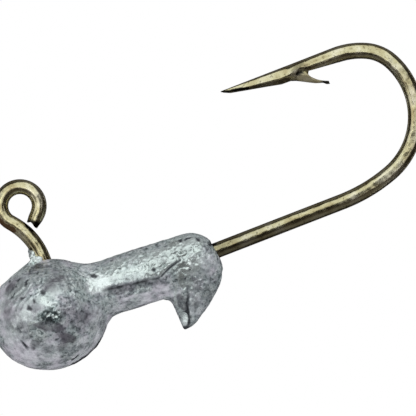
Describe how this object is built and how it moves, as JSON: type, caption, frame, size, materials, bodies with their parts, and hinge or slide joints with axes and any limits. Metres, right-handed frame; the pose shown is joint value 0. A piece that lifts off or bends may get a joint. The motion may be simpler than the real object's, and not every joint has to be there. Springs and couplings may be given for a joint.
{
  "type": "jig head",
  "caption": "Ball-shaped cast lead jig head on a 90 degree barbed wire hook, with a bent line eye, a bait collar and a keeper spur.",
  "frame": {"origin": "centre of the line eye, in the plane of the hook", "axes": "+X along the hook's shank, from the head towards the bend; +Y across the hook, along the line eye's axis; +Z from the shank towards the hook point, the way the line pulls when the jig hangs level"},
  "size_m": [0.0322, 0.0072, 0.014],
  "materials": {
    "bronzed_wire": "bronzed high-carbon steel wire, thin olive lacquer",
    "cast_lead": "raw cast lead, dull grey with bright rubbed spots and fine pits"
  },
  "bodies": {
    "root": {"jig_hook": "bronzed_wire", "lead_head": "cast_lead"}
  },
  "joints": []
}
